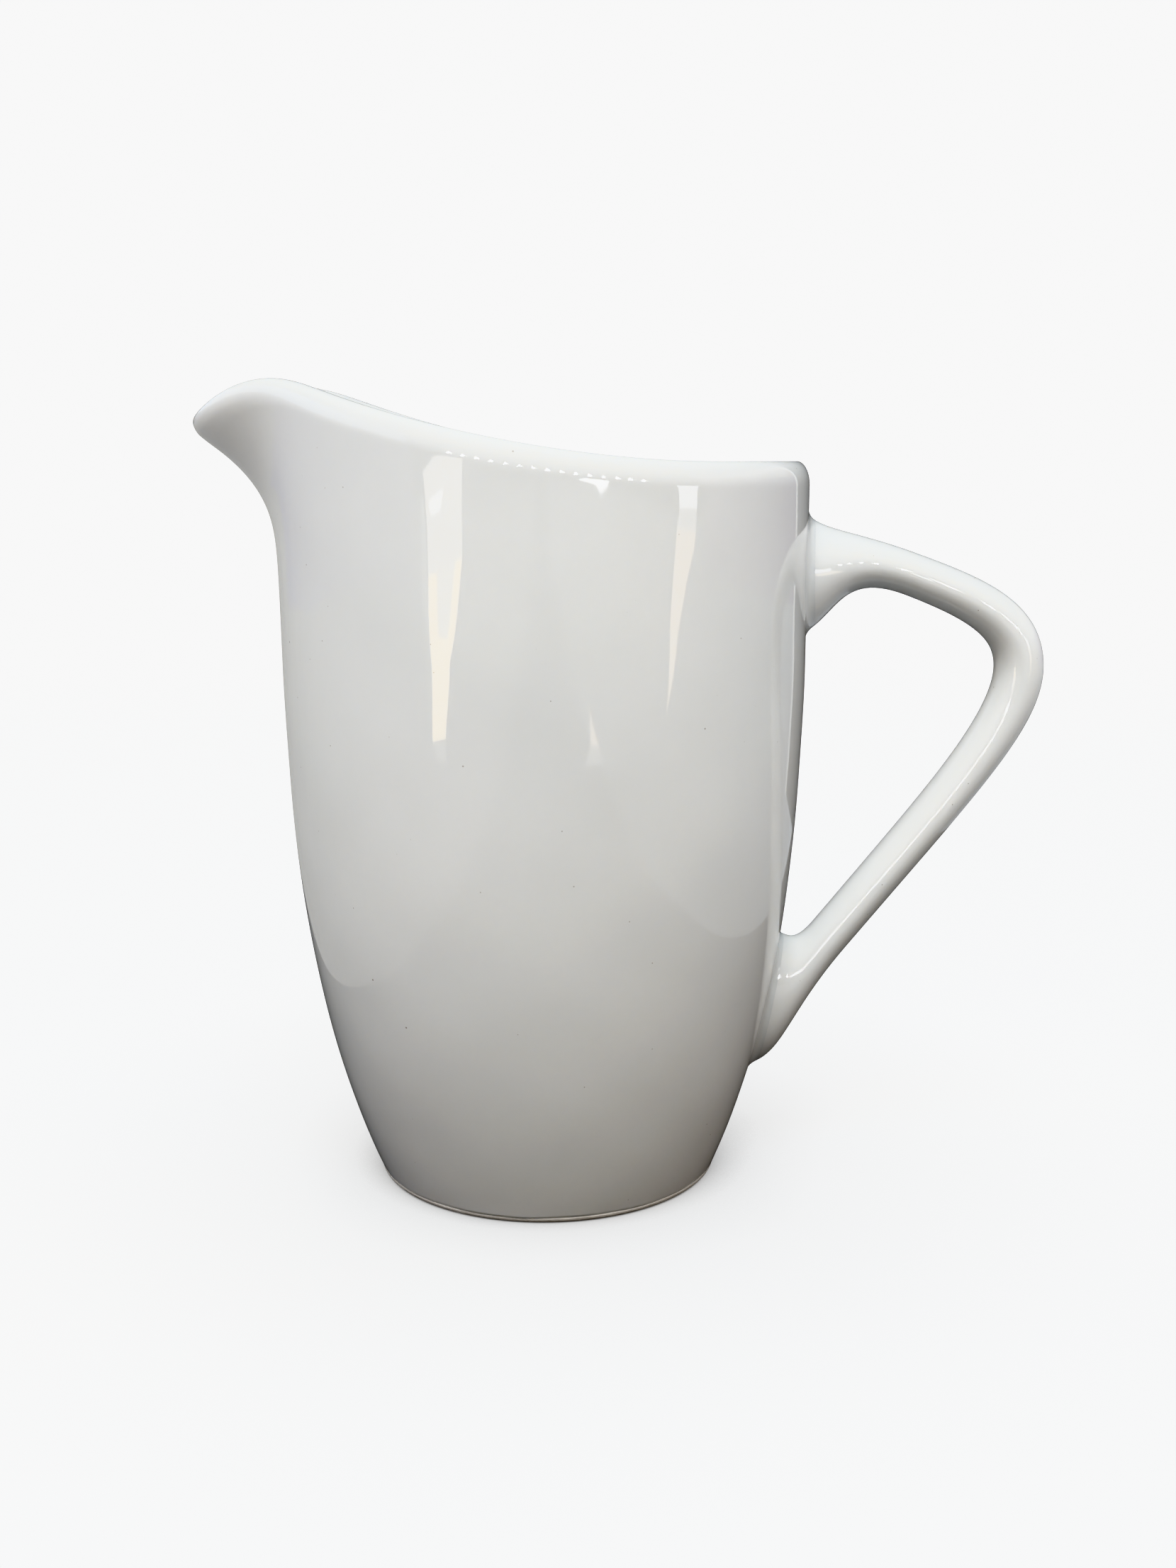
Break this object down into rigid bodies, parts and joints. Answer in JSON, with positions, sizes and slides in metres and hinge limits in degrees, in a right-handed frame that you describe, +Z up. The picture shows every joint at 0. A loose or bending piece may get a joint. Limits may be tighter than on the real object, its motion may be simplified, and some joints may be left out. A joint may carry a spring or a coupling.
{
  "type": "porcelain pouring jug",
  "caption": "Open glazed porcelain jug of a coffee service, with a tapering round body, a rim that rises into a beak-shaped pouring lip, and an ear-shaped handle.",
  "frame": {"origin": "middle of the flat of the foot ring, on the axis of the round body", "axes": "+Z up along the body's axis, -X towards the beak, +X towards the handle, so the jug is the same on both sides of the XZ plane"},
  "size_m": [0.1171, 0.0726, 0.1106],
  "materials": {
    "glaze": "gloss",
    "slip": "gloss",
    "bare_porcelain": "matt"
  },
  "bodies": {
    "root": {"body": "glaze", "handle": "glaze", "upper_slip_joint": "slip", "lower_slip_joint": "slip", "foot_ring": "bare_porcelain"}
  },
  "joints": []
}
